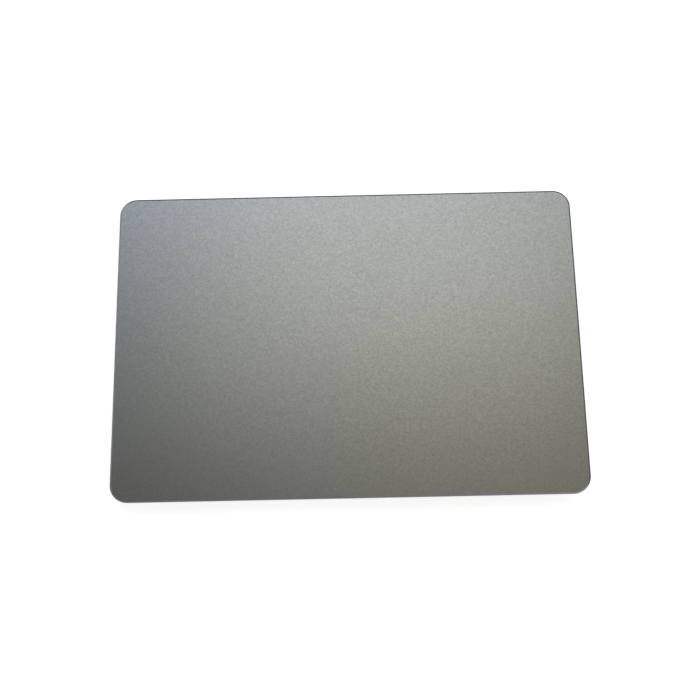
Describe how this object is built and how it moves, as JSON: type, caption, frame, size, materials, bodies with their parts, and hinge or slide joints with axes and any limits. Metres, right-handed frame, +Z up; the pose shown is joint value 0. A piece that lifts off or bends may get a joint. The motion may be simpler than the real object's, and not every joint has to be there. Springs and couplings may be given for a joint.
{
  "type": "trackpad",
  "caption": "Flat rounded trackpad module: etched grey glass on a touch board, carried by sprung force beams over a steel plate with tapped posts and a click actuator.",
  "frame": {"origin": "middle of the glass outline, on the plane that the mounting posts stand on", "axes": "+X to the user's right along the glass, +Y to the rear (the edge at the top of the picture), +Z up out of the glass"},
  "size_m": [0.1206, 0.0812, 0.0052],
  "materials": {
    "etched_glass": "satin etched front, metallic grey paint behind",
    "bond": "black pressure-sensitive film",
    "board": "glass-epoxy laminate under black solder mask",
    "stiffener": "bead-blasted and clear anodised",
    "chip": "moulded epoxy, unmarked",
    "ferrite": "ground ferrite",
    "capacitor": "fired ceramic with tinned ends",
    "crystal_can": "nickel-plated lid",
    "socket": "moulded liquid-crystal polymer",
    "latch": "moulded, dark grey",
    "contact": "gold-plated",
    "plug": "moulded, dark grey",
    "carrier": "stamped stainless sheet, fine brushed",
    "spring_steel": "rolled spring strip",
    "post": "turned brass",
    "fastener": "nickel-plated",
    "tray": "drawn steel, dull nickel plate",
    "core": "stacked silicon-steel sheets",
    "stop": "moulded silicone, black",
    "gel": "clear soft silicone",
    "film": "black polyester film",
    "bobbin": "moulded, black",
    "winding": "copper wire under amber tape",
    "flex": "amber polyimide with copper lines"
  },
  "bodies": {
    "mount": {"carrier_plate": "carrier", "mount_posts": "post", "shim_washers": "fastener", "flexure_rivets": "fastener", "press_stops": "stop", "actuator_tray": "tray", "tray_screws": "fastener", "tray_film": "film", "stator_core": "core", "coil_flex": "flex", "gauge_flex_left": "flex", "gauge_flex_right": "flex", "bobbin_1": "bobbin", "bobbin_2": "bobbin", "bobbin_3": "bobbin", "bobbin_4": "bobbin", "coil_1": "winding", "coil_2": "winding", "coil_3": "winding", "coil_4": "winding"},
    "beams": {"flexure_front_left": "spring_steel", "flexure_front_right": "spring_steel", "flexure_rear_left": "spring_steel", "flexure_rear_right": "spring_steel", "gel_pad_front_left": "gel", "gel_pad_front_right": "gel", "gel_pad_rear_left": "gel", "gel_pad_rear_right": "gel", "strain_gauge_front_left": "flex", "strain_gauge_front_right": "flex", "strain_gauge_rear_left": "flex", "strain_gauge_rear_right": "flex"},
    "pad": {"cover_glass": "etched_glass", "glass_bond": "bond", "sensor_board": "board", "plate_bond": "bond", "stiffener_plate": "stiffener", "touch_controller": "chip", "microcontroller": "chip", "coil_driver": "chip", "gauge_amplifier": "chip", "boost_inductor": "ferrite", "clock_crystal": "crystal_can", "board_capacitors": "capacitor", "cable_socket": "socket", "cable_contacts": "contact", "cable_anchors": "fastener", "coil_socket": "socket", "coil_plug": "plug", "armature_bar": "core", "armature_screws": "fastener"},
    "latch": {"cable_latch": "latch"}
  },
  "joints": [
    {"name": "pad_press", "type": "slide", "parent": "mount", "child": "beams", "axis": [0, 0, -1], "range_m": [0, 0.0002], "stiffness_N_per_m": 6000, "springref_m": -0.0002, "deforming": ["flexure_front_left", "flexure_front_right", "flexure_rear_left", "flexure_rear_right", "gauge_flex_left", "gauge_flex_right", "coil_flex"]},
    {"name": "click_shake", "type": "slide", "parent": "beams", "child": "pad", "axis": [0, 1, 0], "range_m": [-0.0001, 0.0001], "stiffness_N_per_m": 20000, "deforming": ["gel_pad_front_left", "gel_pad_front_right", "gel_pad_rear_left", "gel_pad_rear_right"]},
    {"name": "latch_flip", "type": "hinge", "parent": "pad", "child": "latch", "pos_m": [0, 0.0283, 0.00263], "axis": [1, 0, 0], "range_deg": [0, 90]}
  ]
}
